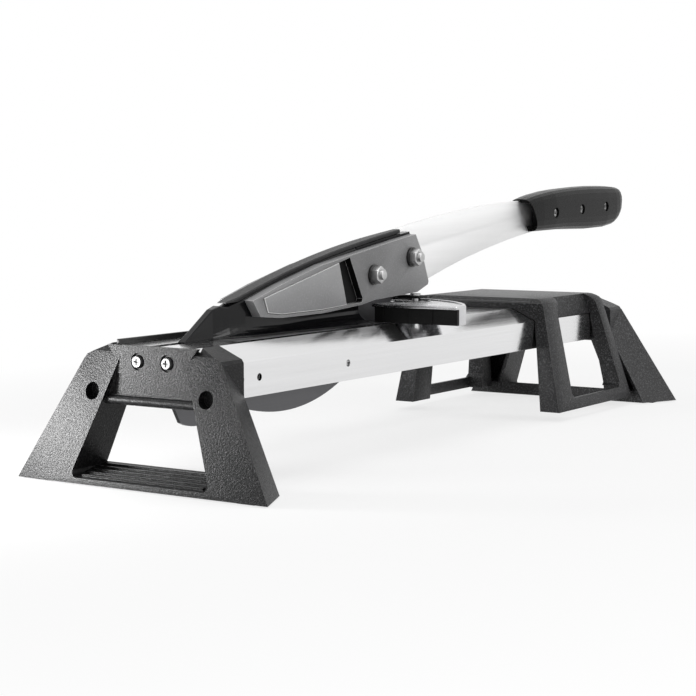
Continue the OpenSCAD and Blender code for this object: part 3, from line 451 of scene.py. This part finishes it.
def dress(node):
    """Makes a copy of a node with rounded edges, which stands for the node."""
    mesh = NODES[node].data.copy()
    join_flat_faces(mesh)
    finishes = finishes_of(node)
    mesh.materials.clear()
    for finish in finishes:
        mesh.materials.append(finish)
    # The groove's faces get painted shade
    if node in COVERS:
        paint_groove_shade(mesh, finishes.index(GROOVE_SHADE))
    piece = link(bpy.data.objects.new(node + "_skin", mesh))
    if node == "beam":
        drill_beam(piece)
    bevel = piece.modifiers.new("edges", "BEVEL")
    bevel.width = EDGE_MM[node] * MM
    bevel.segments = BEVEL_SEGMENTS
    bevel.limit_method = "ANGLE"
    bevel.angle_limit = math.radians(BEVEL_FROM_DEG)
    # The rounded edges get the lighter rim finish: painted highlights
    if node in RIM_HIGHLIGHT_OF:
        bevel.material = finishes.index(RIM_HIGHLIGHT_OF[node])
    bake_modifiers(piece)
    smooth(piece.data, CRISP_DEG.get(node, SMOOTH_DEG))
    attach(piece, body_of_node(node))
    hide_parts(node)


def paint(node):
    """Gives a node that keeps its own shape its finish."""
    obj = NODES[node]
    obj.data.materials.clear()
    obj.data.materials.append(own_finish(node))


def make_camera():
    data = bpy.data.cameras.new("camera")
    data.sensor_width = SENSOR_MM
    data.lens = FOCAL_PX / PHOTO_PX * SENSOR_MM
    data.clip_end = CLIP_END
    level = math.cos(PITCH)
    forward = Vector((-math.sin(YAW) * level, math.cos(YAW) * level, -math.sin(PITCH)))
    right = Vector((math.cos(YAW), math.sin(YAW), 0))
    up = right.cross(forward)
    rolled_right = right * math.cos(ROLL) + up * math.sin(ROLL)
    rolled_up = up * math.cos(ROLL) - right * math.sin(ROLL)
    turn = Matrix((rolled_right, rolled_up, -forward)).transposed().to_4x4()
    camera = link(bpy.data.objects.new("camera", data))
    camera.matrix_world = Matrix.Translation(CAMERA_AT) @ turn
    bpy.context.scene.camera = camera


def background_rays(tree):
    """1 for the rays that should see the white background: camera, mirror and glass rays."""
    rays = tree.nodes.new("ShaderNodeLightPath")
    total = rays.outputs["Is Camera Ray"]
    for kind in ("Is Glossy Ray", "Is Transmission Ray"):
        both = tree.nodes.new("ShaderNodeMath")
        both.operation = "MAXIMUM"
        tree.links.new(total, both.inputs[0])
        tree.links.new(rays.outputs[kind], both.inputs[1])
        total = both.outputs[0]
    return total


def blend_shaders(tree, factor, first, second, output):
    """Sends the first shader to the output where the factor is 0, and the second where it is 1."""
    blend = tree.nodes.new("ShaderNodeMixShader")
    for source, socket in zip((factor, first, second), blend.inputs):
        tree.links.new(source, socket)
    tree.links.new(blend.outputs[0], output)


def make_floor():
    """A pale floor that keeps the shadow near the tool and goes over into the white background."""
    half = FLOOR_HALF
    corners = [(-half, -half, 0), (half, -half, 0), (half, half, 0), (-half, half, 0)]
    mesh = bpy.data.meshes.new("floor")
    mesh.from_pydata(corners, [], [(0, 1, 2, 3)])
    floor = link(bpy.data.objects.new("floor", mesh))
    finish = Finish("floor", FLOOR_COLOR, rough=0.7, specular=0.1)
    base = finish.mix(finish.noise(3.0), tone(FLOOR_COLOR, 0.99), tone(FLOOR_COLOR, 1.01))
    finish.set("Base Color", base)
    glow = finish.node("ShaderNodeEmission")
    reach = finish.node("ShaderNodeVectorMath", operation="LENGTH")
    finish.join(finish.stretched(GLOW_STRETCH), reach.inputs[0])
    share = finish.span(reach.outputs["Value"], GLOW_FROM, GLOW_TO, GLOW_NEAR, GLOW_FAR)
    factor = finish.math("MULTIPLY", share, background_rays(finish.tree))
    surface = finish.tree.nodes["Material Output"].inputs["Surface"]
    blend_shaders(finish.tree, factor, finish.shader.outputs[0], glow.outputs[0], surface)
    floor.data.materials.append(finish.mat)


def make_world():
    """A soft light from all sides, in front of a white background."""
    world = bpy.data.worlds.new("studio")
    bpy.context.scene.world = world
    world.use_nodes = True
    tree = world.node_tree
    light = tree.nodes["Background"]
    background = tree.nodes.new("ShaderNodeBackground")
    for shader, strength in ((light, WORLD_LIGHT), (background, BACKGROUND_LIGHT)):
        shader.inputs["Color"].default_value = WHITE
        shader.inputs["Strength"].default_value = strength
    surface = tree.nodes["World Output"].inputs["Surface"]
    blend_shaders(tree, background_rays(tree), light.outputs[0], background.outputs[0], surface)


def make_lamp(name, at, towards, size, power):
    data = bpy.data.lights.new(name, "AREA")
    data.shape = "RECTANGLE"
    data.size, data.size_y = size
    data.energy = power
    lamp = link(bpy.data.objects.new(name, data))
    lamp.location = at
    lamp.visible_camera = False
    lamp.rotation_euler = (Vector(towards) - Vector(at)).to_track_quat("-Z", "Y").to_euler()


make_camera()
make_floor()
make_world()
for lamp_name, lamp_facts in LAMPS.items():
    make_lamp(lamp_name, *lamp_facts)

for node in NODES:
    if node in EDGE_MM:
        dress(node)
    else:
        paint(node)

bpy.context.scene.view_settings.view_transform = "Standard"
